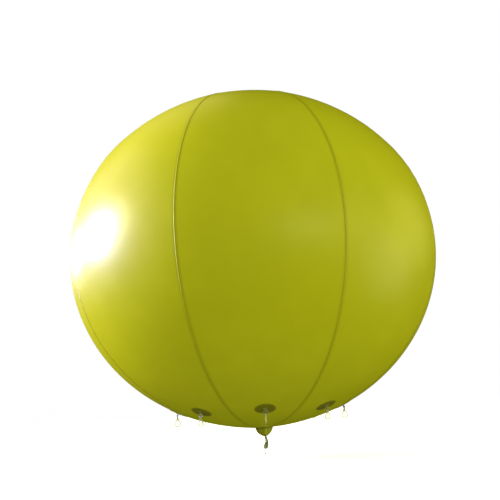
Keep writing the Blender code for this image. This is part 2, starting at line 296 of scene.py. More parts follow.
class Plan:
    """A Geometry Nodes tree with named inputs, each with its value."""

    def __init__(self, name, line=None, **sizes):
        self.name = name
        self.line = line
        self.sizes = {key.replace("_", " "): value for key, value in sizes.items()}
        self.tree = bpy.data.node_groups.new(name, "GeometryNodeTree")
        sockets = self.tree.interface
        sockets.new_socket("Geometry", in_out="OUTPUT", socket_type="NodeSocketGeometry")
        sockets.new_socket("Line", in_out="INPUT", socket_type="NodeSocketGeometry")
        for key, value in self.sizes.items():
            sockets.new_socket(key, in_out="INPUT", socket_type=SOCKET_TYPES[type(value)])
        self.inputs = add_node(self.tree, "NodeGroupInput")

    def __getitem__(self, key):
        return self.inputs[key]

    def add(self, kind, settings=None, inputs=None):
        return add_node(self.tree, kind, settings, inputs)

    def store(self, geometry, name, value):
        """Keep a number on every point, for later nodes and for the finish."""
        return self.add("GeometryNodeStoreNamedAttribute", {
            "data_type": "FLOAT", "domain": "POINT"}, {
            "Geometry": geometry, "Name": name, "Value": value})[0]

    def named(self, name):
        return self.add("GeometryNodeInputNamedAttribute", {"data_type": "FLOAT"},
                        {"Name": name})[0]

    def vector(self, x, y, z):
        return self.add("ShaderNodeCombineXYZ", {}, {0: x, 1: y, 2: z})[0]

    def place(self):
        """The X, Y and Z of every point, as three numbers, and the three together."""
        whole = self.add("GeometryNodeInputPosition")[0]
        parts = self.add("ShaderNodeSeparateXYZ", {}, {0: whole})
        return parts[0], parts[1], parts[2], whole

    def grid(self, wide, high, columns, rows):
        """A flat grid about the origin, and the X and Y of its points."""
        mesh = self.add("GeometryNodeMeshGrid", {}, {
            "Size X": wide, "Size Y": high, "Vertices X": columns, "Vertices Y": rows})[0]
        x, y = self.place()[:2]
        return mesh, x, y


print("plans ready")

# %% [markdown]
# A few steps come back in most trees: move points, push them along their normals, merge
# doubles, and repeat a piece for each gore. Copies round the axis could be made with an Array
# modifier and an empty object, but instances turned by their number need nothing else.

# %% Steps that plans share


def moved(plan, geometry, place):
    return plan.add("GeometryNodeSetPosition", {}, {"Geometry": geometry, "Position": place})[0]


def pushed(plan, geometry, distance):
    """Move points along their normals."""
    normal = plan.add("GeometryNodeInputNormal")[0]
    step = plan.add("ShaderNodeVectorMath", {"operation": "SCALE"}, {
        0: normal, "Scale": distance})[0]
    return plan.add("GeometryNodeSetPosition", {}, {"Geometry": geometry, "Offset": step})[0]


def merged(plan, geometry, distance=0.0002):
    return plan.add("GeometryNodeMergeByDistance", {}, {
        "Geometry": geometry, "Distance": distance})[0]


def repeated(plan, piece, first_turn=0.0):
    """Copies of a piece, one for each gore, turned about the balloon's axis."""
    dots = plan.add("GeometryNodeMeshLine", {}, {
        "Count": plan["Gores"], "Offset": (0.0, 0.0, 0.0)})[0]
    angle = plan.add("GeometryNodeInputIndex")[0] * GORE_TURN + first_turn
    rotation = plan.add("FunctionNodeEulerToRotation", {}, {0: plan.vector(0.0, 0.0, angle)})[0]
    copies = plan.add("GeometryNodeInstanceOnPoints", {}, {
        "Points": dots, "Instance": piece, "Rotation": rotation})[0]
    return plan.add("GeometryNodeRealizeInstances", {}, {0: copies})[0]


print("shared steps ready")

# %% [markdown]
# A tree ends in Realize Instances and Set Material. The modifier could stay on the object, but
# a plain mesh is safer to export and to measure. So the tree's inputs are set by their
# identifiers, the result is taken as a new mesh, and the modifier goes.

# %% From a plan to a plain mesh


def link(name, data):
    thing = bpy.data.objects.new(name, data)
    bpy.context.scene.collection.objects.link(thing)
    return thing


def made_from(plan, geometry):
    """End a plan in its finish, run it and return the object with a plain mesh."""
    smooth = plan.add("GeometryNodeSetShadeSmooth", {}, {"Geometry": geometry})[0]
    realized = plan.add("GeometryNodeRealizeInstances", {}, {0: smooth})[0]
    last = plan.add("GeometryNodeSetMaterial", {}, {
        "Geometry": realized, "Material": plan["Finish"]})[0]
    plan.add("NodeGroupOutput", {}, {0: last})
    thing = link(plan.name, plan.line or bpy.data.meshes.new(plan.name))
    modifier = thing.modifiers.new(plan.name, "NODES")
    modifier.node_group = plan.tree
    for item in plan.tree.interface.items_tree:
        if item.name in plan.sizes:
            modifier[item.identifier] = plan.sizes[item.name]
    graph = bpy.context.evaluated_depsgraph_get()
    mesh = bpy.data.meshes.new_from_object(thing.evaluated_get(graph), depsgraph=graph)
    thing.modifiers.clear()
    thing.data = mesh
    mesh.calc_loop_triangles()
    print(plan.name, len(mesh.loop_triangles), "triangles")
    return thing


# %% [markdown]
# The balloon carries soft braided cord: cream loops at the rings, a grey lashing round the neck
# and its pale end. A finish could show a braid with a bump alone, but a braid's edge would stay
# smooth. So the tree that makes a cord raises its strands for real and stores their
# height, and the finish only paints shade into the valleys and adds a matt fuzz.

# %% Cord finishes
VALLEY = (0.35, 0.85)              # heights of the relief between which a strand gets its shade


def cord_finish(name, colour, shade):
    finish, tree, shader = new_finish(name, Roughness=0.78)
    fuzz = noise(tree, object_place(tree), scale=900.0, detail=3.0)
    # painted shade: the valleys between the strands are darkened
    valley_shade = 1 - attribute(tree, "relief").within(*VALLEY)
    colour = mixed(tree, valley_shade * 0.75 + fuzz * 0.15, colour, shade)
    fuzzy = bumped(tree, fuzz, strength=0.35, distance=0.0002)
    feed(tree, shader, Base_Color=colour, Normal=fuzzy)
    return finish


CREAM_CORD = cord_finish("loop_cord", (0.620, 0.640, 0.430), (0.300, 0.310, 0.180))
GREY_CORD = cord_finish("lashing_cord", (0.300, 0.315, 0.380), (0.100, 0.105, 0.130))
PALE_CORD = cord_finish("thin_cord", (0.520, 0.530, 0.520), (0.200, 0.205, 0.200))
print("finishes", CREAM_CORD.name, GREY_CORD.name, PALE_CORD.name)

# %% [markdown]
# A cord, a wire and a lashing are all one thing: a round section carried along a line. A curve
# with a bevel would do for a plain wire. The nodes do the same and can also raise a braid: its
# two families of strands wind opposite ways, and the taller of the two at each point gives
# the diamond pattern. A ring's wire is the same tube with no relief.

# %% Tubes along a line
RELIEF_MIDDLE = 0.7                # relief at which the section keeps its radius


def line_mesh(name, points, closed):
    mesh = bpy.data.meshes.new(name)
    edges = [(i, i + 1) for i in range(len(points) - 1)]
    if closed:
        edges.append((len(points) - 1, 0))
    mesh.from_pydata(points, edges, [])
    return mesh


def make_tube(name, points, radius, finish, sides, step, depth=0.0, strands=6, pitch=0.009,
              closed=False):
    """A tube along points, with a braid's relief of a given depth."""
    plan = Plan(name, line=line_mesh(name, points, closed), Finish=finish, Radius=radius,
                Sides=sides, Step=step, Depth=depth, Strands=strands, Pitch=pitch)
    curve = plan.add("GeometryNodeMeshToCurve", {}, {0: plan["Line"]})[0]
    curve = plan.add("GeometryNodeResampleCurve", {"mode": "LENGTH"}, {
        "Curve": curve, "Length": plan["Step"]})[0]
    curve = plan.store(curve, "along", plan.add("GeometryNodeSplineParameter")["Length"])
    ring = plan.add("GeometryNodeCurvePrimitiveCircle", {}, {
        "Resolution": plan["Sides"], "Radius": plan["Radius"]})[0]
    round_it = plan.add("GeometryNodeSplineParameter")["Factor"] * (2 * pi)
    ring = plan.store(ring, "around", round_it)
    tube = plan.add("GeometryNodeCurveToMesh", {}, {
        "Curve": curve, "Profile Curve": ring, "Fill Caps": True})[0]
    lead = plan.named("along") * (2 * pi) / plan["Pitch"]
    lumps = plan.named("around") * plan["Strands"]
    left_hand = ((lumps + lead) / 2).sine().absolute()
    right_hand = ((lumps - lead) / 2).sine().absolute()
    tube = plan.store(tube, "relief", left_hand.maths("MAXIMUM", right_hand))
    tube = pushed(plan, tube, (plan.named("relief") - RELIEF_MIDDLE) * plan["Depth"])
    return made_from(plan, tube)


print("tube function ready")

# %% [markdown]
# A hanging cord bends smoothly, but its route is easiest to give as a few points. A curve object
# could smooth them, yet its length would then have to be read back. Here a short sum passes
# a smooth curve through every point, so the same points make the mesh and give the cord's
# length.

# %% Smooth routes


def smooth_route(route, steps):
    """Points at even shares of a smooth curve that passes through every point of a route."""
    route = [2 * route[0] - route[1], *route, 2 * route[-1] - route[-2]]
    spans = len(route) - 3
    points = []
    for i in range(steps + 1):
        place = min(spans * i / steps, spans - 1e-9)
        first = int(place)
        t = place - first
        a, b, c, d = route[first:first + 4]
        points.append(0.5 * (2 * b + (c - a) * t + (2 * a - 5 * b + 4 * c - d) * t ** 2
                             + (3 * b - a - 3 * c + d) * t ** 3))
    return points


def length_of(points):
    return sum((b - a).length for a, b in zip(points, points[1:]))


print("first pin at", [round(v, 4) for v in PIN_PLACES[0]])

# %% [markdown]
# A tether is tied to a loop of cord on each ring. The loop is threaded through the ring, hangs
# open below it like a drop, and is seized just under the ring with thin twine. A cloth
# or rope simulation could drape it, but so short a loop keeps the shape that its stiffness
# gives it. So one side of it is given as points under the ring's bow and mirrored, just as in
# the frame's solid.

# %% Routes of loop, saddle and seizing
CORD_RADIUS = 0.002
WIRE_RADIUS = 0.0018
RING_HALF_WIDTH = 0.013
RING_SIDE = 0.003
BOW_CENTRE = RING_SIDE + RING_HALF_WIDTH    # of the wire, under the pin
BOW_BOTTOM = 0.017466                       # of the frame's ring, under the pin
LOOP_SIDE = [
    {"out": 0.0030, "below_bow": 0.0003},
    {"out": 0.0044, "below_bow": 0.0055},
    {"out": 0.0090, "below_bow": 0.0135},
    {"out": 0.0138, "below_bow": 0.0215},
    {"out": 0.0152, "below_bow": 0.0290},
    {"out": 0.0108, "below_bow": 0.0362},
    {"out": 0.0000, "below_bow": 0.0392},
]
LOOP_STEPS = 120
SADDLE_END = radians(118)                   # from the top of the bow, to each side
SADDLE_STEPS = 16
TWINE_RADIUS = 0.0005
TWINE_TURNS = 5
SEIZING_TOP = 0.0024                        # under the bow
LEGS_APART = 0.0030                         # half the way between the loop's legs at the bow
LEGS_SPREAD = 0.30                          # and what that grows by for each metre down


def loop_route():
    pin = PIN_PLACES[0]
    side = [pin + Vector((0.0, -s["out"], -BOW_BOTTOM - s["below_bow"])) for s in LOOP_SIDE]
    back = [Vector((p.x, 2 * pin.y - p.y, p.z)) for p in reversed(side[:-1])]
    return smooth_route(side + back, LOOP_STEPS)


def saddle_route():
    """The part of the cord that passes over the bow, inside the ring."""
    reach = WIRE_RADIUS + CORD_RADIUS
    turns = [SADDLE_END * (2 * i / SADDLE_STEPS - 1) for i in range(SADDLE_STEPS + 1)]
    return [PIN_PLACES[0] + Vector((0.0, reach * sin(a), reach * cos(a) - BOW_CENTRE))
            for a in turns]


def seizing_route(steps=24):
    """Turns of twine round both legs of the loop, just under the ring."""
    reach = CORD_RADIUS + TWINE_RADIUS * 0.8
    points = []
    for i in range(TWINE_TURNS * steps + 1):
        angle = 2 * pi * i / steps
        below = SEIZING_TOP + 2 * TWINE_RADIUS * 1.02 * i / steps
        out = (LEGS_APART + LEGS_SPREAD * below + reach) * cos(angle)
        points.append(PIN_PLACES[0] + Vector((reach * sin(angle), out, -BOW_BOTTOM - below)))
    return points


loop_points = loop_route()
print("a loop is", round(length_of(loop_points) * 1000), "mm long")

# %% [markdown]
# The eight loops are alike, so they are made once, at ring 0, as patterns. Eight linked copies
# turned about the axis would be the usual way, but a finished piece has to sit at the origin
# unturned. So each copy gets its own mesh, with the turn applied to its points. Each rides on
# its ring's body and swings with it.

# %% Cord loops
BRAID = {"sides": 36, "step": 0.00055, "depth": 0.0005}


def ride_round(piece, name, number):
    """A copy of a piece made at ring 0, turned to a ring's place and riding on its body."""
    mesh = piece.data.copy()
    mesh.transform(Matrix.Rotation(number * GORE_TURN, 4, "Z"))
    copy = link(f"{name}_{number}", mesh)
    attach(copy, f"ring_{number}")
    return copy


loop_pattern = make_tube("loop_pattern", loop_points, CORD_RADIUS, CREAM_CORD, **BRAID)
saddle_pattern = make_tube("saddle_pattern", saddle_route(), CORD_RADIUS, CREAM_CORD, **BRAID)
seizing_pattern = make_tube("seizing_pattern", seizing_route(), TWINE_RADIUS, PALE_CORD, sides=8,
                            step=0.0006)
for number in range(GORES):
    turn = Matrix.Rotation(number * GORE_TURN, 3, "Z")
    path = [turn @ point for point in loop_points]
    loop = ride_round(loop_pattern, "braided_loop", number)
    saddle = ride_round(saddle_pattern, "loop_saddle", number)
    seizing = ride_round(seizing_pattern, "loop_seizing", number)
    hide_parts(f"cord_loop_{number}")
    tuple(path[0])
    length_of(path)
for pattern in (loop_pattern, saddle_pattern, seizing_pattern):
    bpy.data.objects.remove(pattern)
print("loops at", GORES, "rings")

# %% [markdown]
# The neck is lashed shut with a cord whose end hangs from the last turn and stops in a knot.
# Its route is the frame's. A knot could be modelled by hand, but a knot's line has a known rule:
# three waves that lie over and under each other make a trefoil, which is pulled small here.

# %% Hanging end of the lashing's cord
TAIL_RADIUS = 0.00175
TAIL_PITCH = 0.008
TAIL_ROUTE = [
    Vector((0.0166, -0.0065, -0.9890)),
    Vector((0.0134, -0.0108, -0.9935)),
    Vector((0.0110, -0.0140, -1.0020)),
    Vector((0.0102, -0.0149, -1.0130)),
    Vector((0.0104, -0.0146, -1.0290)),
    Vector((0.0110, -0.0136, -1.0450)),
    Vector((0.0107, -0.0136, -1.0620)),
]
END_KNOT_SIZE = 0.0011
END_KNOT_RADIUS = 0.0015                    # of the cord, pulled thin in the knot


def knot_route(centre, size, steps=90):
    """A trefoil about a centre, its closed line about six sizes across."""
    points = []
    for i in range(steps):
        t = 2 * pi * i / steps
        spot = Vector((sin(t) + 2 * sin(2 * t), -1.4 * sin(3 * t), cos(t) - 2 * cos(2 * t)))
        points.append(centre + spot * size)
    return points


tail_points = smooth_route(TAIL_ROUTE, 90)
tail = make_tube("hanging_cord", tail_points, TAIL_RADIUS, PALE_CORD, sides=32, step=0.0006,
                 depth=0.0004, pitch=TAIL_PITCH)
end_knot = make_tube("cord_end_knot", knot_route(tail_points[-1], END_KNOT_SIZE),
                     END_KNOT_RADIUS, PALE_CORD, sides=20, step=0.0007, depth=0.0003,
                     pitch=TAIL_PITCH, closed=True)
for piece in (tail, end_knot):
    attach(piece, "balloon")
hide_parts("neck_cord")
tail_points[0]
length_of(tail_points)
print("hanging end of", round(length_of(tail_points) * 1000), "mm")

# %% [markdown]
# The envelope is soft PVC film with a satin gloss, a strong yellow-green that is a little
# uneven where the film was calendered. An even colour would look like paint, so two soft noises
# mix in a paler tone and change the gloss. Close to a weld the film is darker: the envelope's
# tree stores each point's distance to its seam for that.

# %% Film finish
FILM_COLOUR = (0.365, 0.380, 0.0008)
FILM_PALE = (0.390, 0.402, 0.0014)
FILM_DEEP = (0.285, 0.297, 0.0008)
FILM_MIRROR = (1.0, 1.0, 0.5, 1.0)          # mirrored light takes on a little of the film's colour
FILM_INDEX = 1.5
DARKER_NEAR_SEAM = (0.005, 0.018)                     # metres from a seam over which the darker tone fades


def film_finish():
    finish, tree, shader = new_finish("balloon_film", IOR=FILM_INDEX, Specular_Tint=FILM_MIRROR)
    place = object_place(tree)
    clouds = noise(tree, place, scale=1.7, detail=3.0)
    haze = noise(tree, place, scale=9.0, detail=4.0)
    share = (clouds * 0.7 + haze * 0.3).within(0.40, 0.62)
    colour = mixed(tree, share, FILM_COLOUR, FILM_PALE)
    # the film is made darker close to a seam
    near = 1 - attribute(tree, "from_seam").within(*DARKER_NEAR_SEAM)
    colour = mixed(tree, near * 0.55, colour, FILM_DEEP)
    grain = bumped(tree, noise(tree, place, scale=420.0), strength=0.05, distance=0.0004)
    feed(tree, shader, Base_Color=colour, Roughness=0.33 + haze * 0.08, Normal=grain)
    return finish


FILM = film_finish()
print("finish", FILM.name)

# %% [markdown]
# A seam is two layers of film, pressed together by a ribbed welding bar. The ribs are far too
# fine to model, so a sine along the seam bumps them, and it fades towards the edges, where the
# bar doesn't press. The double layer is darker than the film, and its edges are darker still
# with painted shade, against which the band's raised middle reads as lit.

# %% Seam finish
SEAM_COLOUR = (0.300, 0.308, 0.0010)
SEAM_EDGE_SHADE = (0.250, 0.257, 0.0010)
RIB_PITCH = 0.0024
UNPRESSED = (0.62, 0.92)                    # shares of the half width over which the edge begins


def seam_finish():
    finish, tree, shader = new_finish("welded_film", IOR=FILM_INDEX, Specular_Tint=FILM_MIRROR)
    edge = attribute(tree, "off_middle").within(*UNPRESSED)
    ribs = (attribute(tree, "down") * (2 * pi * RADIUS / RIB_PITCH)).sine()
    # painted shade: the band's edges are darker than its raised middle
    colour = mixed(tree, edge, SEAM_COLOUR, SEAM_EDGE_SHADE)
    ribbed = bumped(tree, ribs * (1 - edge), strength=0.5, distance=0.0003)
    feed(tree, shader, Base_Color=colour, Roughness=0.30 + edge * 0.2, Normal=ribbed)
    return finish


SEAM_FILM = seam_finish()
print("finish", SEAM_FILM.name)

# %% [markdown]
# Gas presses the envelope into a shape that follows a rule, so it needs no sculpting and no
# simulation. Down a gore it is an ellipse from pole to pole. Across it the film bulges a little
# less than a circle, so the seams stand proud as ridges. The rule is written once as plain
# numbers and once as nodes, because everything that lies on the film uses it too.

# %% The rule of the surface
MIDDLE_SHARE = 1 - FLATNESS + FLATNESS * cos(HALF_GORE)    # a gore's middle, over its ridges
RIDGE_SHARE = 1 / MIDDLE_SHARE


def surface_spot(down, across):
    """Position and normal, as numbers, on the gore that faces -Y."""
    share = (1 - FLATNESS + FLATNESS * cos(HALF_GORE) / cos(across)) / MIDDLE_SHARE
    outward = Vector((sin(across), -cos(across), 0.0))
    place = outward * (RADIUS * sin(down) * share) + Vector((0.0, 0.0, HALF_HEIGHT * cos(down)))
    normal = outward * (sin(down) / RADIUS) + Vector((0.0, 0.0, cos(down) / HALF_HEIGHT))
    return place, normal.normalized()


def surface(plan, down, across, azimuth, lift):
    """The same as nodes: across gives the gore's shape, azimuth the direction it faces."""
    share = (1 - FLATNESS + FLATNESS * cos(HALF_GORE) / across.cosine()) / MIDDLE_SHARE
    radius, half_height = plan["Radius"], plan["Half height"]
    east, south = azimuth.sine(), -azimuth.cosine()
    reach = radius * down.sine() * share
    tilt = down.sine() / radius
    place = plan.vector(reach * east, reach * south, half_height * down.cosine())
    slope = plan.vector(tilt * east, tilt * south, down.cosine() / half_height)
    normal = plan.add("ShaderNodeVectorMath", {"operation": "NORMALIZE"}, {0: slope})[0]
    step = plan.add("ShaderNodeVectorMath", {"operation": "SCALE"}, {
        0: normal, "Scale": lift})[0]
    return plan.add("ShaderNodeVectorMath", {"operation": "ADD"}, {0: place, 1: step})[0]


print("ridges stand", round((RIDGE_SHARE - 1) * RADIUS * 1000, 1), "mm over a gore's middle")

# %% [markdown]
# Heat-sealed film never lies quite smooth beside a weld: small puckers run off the seams, and
# the neck gathers the film round the bottom pole. A bump could only shade them, and they would
# be missing from the seams' outline. So real waves are pushed along the normals, from noise
# that is quick along a seam and slow across it. The seams get the same waves as the film.

# %% Puckers
PUCKERS = {"Pucker": 0.0030, "Pucker_reach": 0.040, "Unevenness": 0.0016, "Gather": 0.0016}
GATHERS = 20
GATHER_AT, GATHER_WIDTH = 0.055, 0.030      # from the bottom pole
LOWER_HALF = 2.0                            # angle down from the top pole, in radians
RIPPLES_DOWN, RIPPLES_ROUND = 26.0, 3.0     # scales of the puckers' noise along and across
SLOW_SCALE = 2.2


def pucker(plan, whole):
    """Small waves off the seams and slow unevenness, along the surface's normal."""
    x, y, _, place = plan.place()
    down, from_seam = plan.named("down"), plan.named("from_seam")
    reach = (x * x + y * y) ** 0.5 + 0.001
    east, south = x / reach, y / reach
    ripple = plan.vector(down * RIPPLES_DOWN, east * RIPPLES_ROUND, south * RIPPLES_ROUND)
    wave = noise(plan.tree, ripple, scale=1.0, detail=1.0) - 0.5
    fade = (-(from_seam / plan["Pucker reach"])).exponent() * down.sine()
    slow = noise(plan.tree, place, scale=SLOW_SCALE, detail=1.0) - 0.5
    low = reach.bell(GATHER_AT, GATHER_WIDTH) * down.maths("GREATER_THAN", LOWER_HALF)
    gather = (east.maths("ARCTAN2", south) * GATHERS).cosine() * low * plan["Gather"]
    uneven = slow * plan["Unevenness"] * down.sine()
    return pushed(plan, whole, wave * fade * plan["Pucker"] + uneven + gather)


print("puckers up to", PUCKERS["Pucker"] * 1000 / 2, "mm")

# %% [markdown]
# The envelope is eight gores of film, welded edge to edge. A sphere could be squashed into
# shape, but its rows and poles wouldn't follow the gores. So one gore is a flat grid, as it lies
# on the cutting table, bent by the rule. Eight copies are merged along their edges and at the
# poles into one closed skin.

# %% Envelope


def stored_down(plan):
    """The angle down from the top pole, read back from a bent point's height."""
    return (plan.place()[2] / plan["Half height"]).maths("ARCCOSINE")


def make_envelope():
    plan = Plan("envelope_film", Finish=FILM, Gores=GORES, Rows=200, Columns=49,
                Radius=RADIUS, Half_height=HALF_HEIGHT, **PUCKERS)
    grid, across, up_page = plan.grid(GORE_TURN, pi, plan["Columns"], plan["Rows"])
    down = pi / 2 - up_page
    from_seam = (HALF_GORE - across.absolute()) * down.sine() * plan["Radius"]
    grid = plan.store(grid, "from_seam", from_seam)
    bent = moved(plan, grid, surface(plan, down, across, across, 0.0))
    bent = plan.store(bent, "down", stored_down(plan))
    return made_from(plan, pucker(plan, merged(plan, repeated(plan, bent))))


envelope = make_envelope()
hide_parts(*[f"gore_{k}" for k in range(GORES)])
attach(envelope, "balloon")

# %% [markdown]
# Two gores lap by the width of the welding bar, so a seam is a band of doubled film that
# follows the ridge and its puckers. A curve along the ridge with a flat section would do for a
# smooth shell, but it would sink into the puckers. So the band is a narrow grid, bent by the
# film's own rule. It is puffed a little in the middle, and its edges go down into the
# film, so that no gap shows.

# %% Seam bands
SEAM_WIDTH = 0.011
SEAM_THICKNESS = 0.0013
SEAM_SUNK = 0.0006                          # how far an edge goes into the film
SEAM_PUFF = 2.5                             # higher is flatter, with steeper edges
SEAM_TOP_RADIUS = 0.058
SEAM_BOTTOM_RADIUS = 0.040


def make_seams():
    top = asin(SEAM_TOP_RADIUS / RADIUS)
    bottom = pi - asin(SEAM_BOTTOM_RADIUS / RADIUS)
    plan = Plan("seam_bands", Finish=SEAM_FILM, Gores=GORES, Rows=400, Columns=13,
                Radius=RADIUS, Half_height=HALF_HEIGHT, Width=SEAM_WIDTH,
                Thickness=SEAM_THICKNESS, Top=top, Bottom=bottom, **PUCKERS)
    grid, side, up_page = plan.grid(1.0, 1.0, plan["Columns"], plan["Rows"])
    down = plan["Top"] + (0.5 - up_page) * (plan["Bottom"] - plan["Top"])
    spread = (side * pi).sine() * 0.5
    off = spread.absolute() * 2
    azimuth = spread * plan["Width"] / (plan["Radius"] * down.sine() * RIDGE_SHARE)
    lift = (1 - off ** SEAM_PUFF) * (plan["Thickness"] + SEAM_SUNK) - SEAM_SUNK
    for name, value in (("off_middle", off), ("down", down),
                        ("from_seam", off * plan["Width"] * 0.5)):
        grid = plan.store(grid, name, value)
    from_middle = HALF_GORE - azimuth.absolute()
    bent = moved(plan, grid, surface(plan, plan.named("down"), from_middle, azimuth, lift))
    return made_from(plan, pucker(plan, repeated(plan, bent, HALF_GORE)))


seams = make_seams()
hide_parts(*[f"seam_{k}" for k in range(GORES)])
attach(seams, "balloon")

# %% [markdown]
# A load patch is a disc of coated cloth welded to the film, darker than the film, with a paler
# rim that is a painted highlight. Its weave shows faintly through the coating. A picture of cloth
# could be laid over it, but two crossed sines, read from places stored on the disc, give threads
# of a true size that bend with the disc.

# %% Patch cloth
PATCH_COLOUR = (0.140, 0.145, 0.003)
PATCH_WEAVE_AND_RIM_HIGHLIGHT = (0.185, 0.188, 0.006)
RIM_START = (0.0465, 0.0500)                # from the disc's middle
THREAD_PITCH = 0.0011


def weave(across, along, pitch):
    """Threads over and under each other, from 0 to 1."""
    return (across * (2 * pi / pitch)).sine() * (along * (2 * pi / pitch)).sine() * 0.5 + 0.5


def patch_finish():
    finish, tree, shader = new_finish("patch_cloth", Specular_IOR_Level=0.25,
                                     Specular_Tint=FILM_MIRROR)
    threads = weave(attribute(tree, "cloth_x"), attribute(tree, "cloth_y"), THREAD_PITCH)
    rim = attribute(tree, "from_middle").within(*RIM_START)
    clouds = noise(tree, object_place(tree), scale=40.0, detail=3.0)
    # painted highlight: the rim is mixed towards the paler colour
    colour = mixed(tree, rim * 0.8, PATCH_COLOUR, PATCH_WEAVE_AND_RIM_HIGHLIGHT)
    colour = mixed(tree, threads * 0.12 + clouds * 0.2, colour, PATCH_WEAVE_AND_RIM_HIGHLIGHT)
    woven = bumped(tree, threads * (1 - rim), strength=0.35, distance=0.0002)
    feed(tree, shader, Base_Color=colour, Roughness=0.42 + clouds * 0.12, Normal=woven)
    return finish


PATCH_CLOTH = patch_finish()
print("finish", PATCH_CLOTH.name)

# %% [markdown]
# The disc has to hug a surface that bends both ways. A flat disc with a Shrinkwrap modifier
# would do it roughly. Here a grid is wound into a circle and bent by the film's own rule, which
# is exact, and a pressed groove and a thinner rim are part of the same sum. Its edge goes down
# into the film.

# %% Patch discs
PATCH_RADIUS = 0.055
PATCH_TOP = 0.0023
PATCH_SUNK = 0.0010
GROOVE_RADIUS = 0.0475
GROOVE_WIDTH = 0.0011
RIM_SHARES, RIM_STEP = (0.84, 0.90), 0.0006
EDGE_POWER = 40                             # how suddenly the edge turns down
PATCH_DOWN = pi - PATCH_ANGLE
METRES_DOWN = ((RADIUS * cos(PATCH_DOWN)) ** 2 + (HALF_HEIGHT * sin(PATCH_DOWN)) ** 2) ** 0.5


def make_discs():
    plan = Plan("patch_discs", Finish=PATCH_CLOTH, Gores=GORES, Rings=49, Spokes=97,
                Radius=RADIUS, Half_height=HALF_HEIGHT, Disc_radius=PATCH_RADIUS,
                Top=PATCH_TOP, Groove=GROOVE_RADIUS, Groove_depth=0.0006)
    grid, out, round_page = plan.grid(1.0, 2 * pi, plan["Rings"], plan["Spokes"])
    share = out + 0.5
    reach = share * plan["Disc radius"]
    groove = reach.bell(plan["Groove"], GROOVE_WIDTH) * plan["Groove depth"]
    rim = share.within(*RIM_SHARES) * RIM_STEP
    flat = (1 - share ** EDGE_POWER) * (plan["Top"] + PATCH_SUNK) - PATCH_SUNK
    for name, value in (("cloth_x", reach * round_page.cosine()),
                        ("cloth_y", reach * round_page.sine()), ("from_middle", reach)):
        grid = plan.store(grid, name, value)
    down = PATCH_DOWN - plan.named("cloth_y") / METRES_DOWN
    across = plan.named("cloth_x") / (plan["Radius"] * down.sine())
    bent = moved(plan, grid, surface(plan, down, across, across, flat - groove - rim))
    return made_from(plan, repeated(plan, merged(plan, bent)))


discs = make_discs()
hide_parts(*[f"load_patch_{k}" for k in range(GORES)])
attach(discs, "balloon")

# %% [markdown]
# A tab of narrow webbing holds the ring's straight bar. It is one length: along the disc, up to
# the bar, round it and back down, then along the disc the other way. A bent plane with
# thickness would have square edges, where webbing's are round. So the path is laid out first,
# as arcs and straight runs seen from the side. Z points out of the film, and X runs along the
# hinge.

# %% The tab's path
TAB_WIDTH = 0.020
WEBBING = 0.0017                            # its thickness
FOOT_END = 0.013
FOOT_STEP = 0.0015
FOOT_MIDDLE = PATCH_TOP + WEBBING / 2
PIN_HEIGHT = 0.013
WRAP_RADIUS = 0.0035
BEND_RADIUS = 0.0018
STEM_GAP = 0.0001                           # between the stem's two layers and its middle


def patch_frame():
    """Where patch 0 lies and how it is turned."""
    place, normal = surface_spot(PATCH_DOWN, 0.0)
    side = Vector((1.0, 0.0, 0.0))
    axes = Matrix((side, normal.cross(side), normal)).transposed().to_4x4()
    return Matrix.Translation(place) @ axes


def arc(centre, radius, start, end, steps):
    """Points (y, z) on an arc, its angles measured from +Y towards +Z."""
    angles = [start + (end - start) * i / steps for i in range(steps + 1)]
    return [(centre[0] + radius * cos(a), centre[1] + radius * sin(a)) for a in angles]


def tab_line():
    out = WEBBING / 2 + STEM_GAP + BEND_RADIUS
    turn_off = asin(out / (WRAP_RADIUS + BEND_RADIUS))
    knee = (out, PIN_HEIGHT - (WRAP_RADIUS + BEND_RADIUS) * cos(turn_off))
    line = [(FOOT_END - FOOT_STEP * i, FOOT_MIDDLE) for i in range(6)]
    line += arc((out, FOOT_MIDDLE + BEND_RADIUS), BEND_RADIUS, -pi / 2, -pi, 6)
    line += arc(knee, BEND_RADIUS, pi, pi / 2 + turn_off, 4)
    line += arc((0.0, PIN_HEIGHT), WRAP_RADIUS, turn_off - pi / 2, pi / 2, 14)[1:]
    return line + [(-y, z) for y, z in reversed(line[:-1])]


tab_path = [Vector(point) for point in tab_line()]
print("a tab is", round(length_of(tab_path) * 1000), "mm of webbing")
print("its pin", [round(v, 4) for v in patch_frame() @ Vector((0.0, 0.0, PIN_HEIGHT))])

# %% [markdown]
# Webbing is woven with ribs across it that wander a little. They are finer than the film's weld
# ribs, so they are drawn by the finish and not modelled. A pattern on Object coordinates would
# cut straight through the bends. So the finish reads how far along and across the webbing a
# point lies, which the strip's mesh will store.

# %% Webbing finish
WEBBING_DARK = (0.150, 0.156, 0.030)
WEBBING_PALE = (0.240, 0.248, 0.060)
WEBBING_RIB = 0.0016
WANDER_PITCH, WANDER = 0.005, 1.6


def webbing_finish():
    finish, tree, shader = new_finish("tab_webbing", Roughness=0.75)
    along, across = attribute(tree, "along"), attribute(tree, "across")
    wander = (across * (2 * pi / WANDER_PITCH)).sine() * WANDER
    ribs = (along * (2 * pi / WEBBING_RIB) + wander).sine() * 0.5 + 0.5
    colour = mixed(tree, ribs, WEBBING_DARK, WEBBING_PALE)
    ribbed = bumped(tree, ribs, strength=0.6, distance=0.0003)
    feed(tree, shader, Base_Color=colour, Normal=ribbed)
    return finish


TAB_WEBBING = webbing_finish()
print("finish", TAB_WEBBING.name)

# %% [markdown]
# The strip itself is flat with round edges. A curve with a flat bevel would give that shape,
# but nothing to draw the ribs by. So the section is carried along the path in plain mesh
# code, where every point can keep its two numbers.

# %% Webbing strip


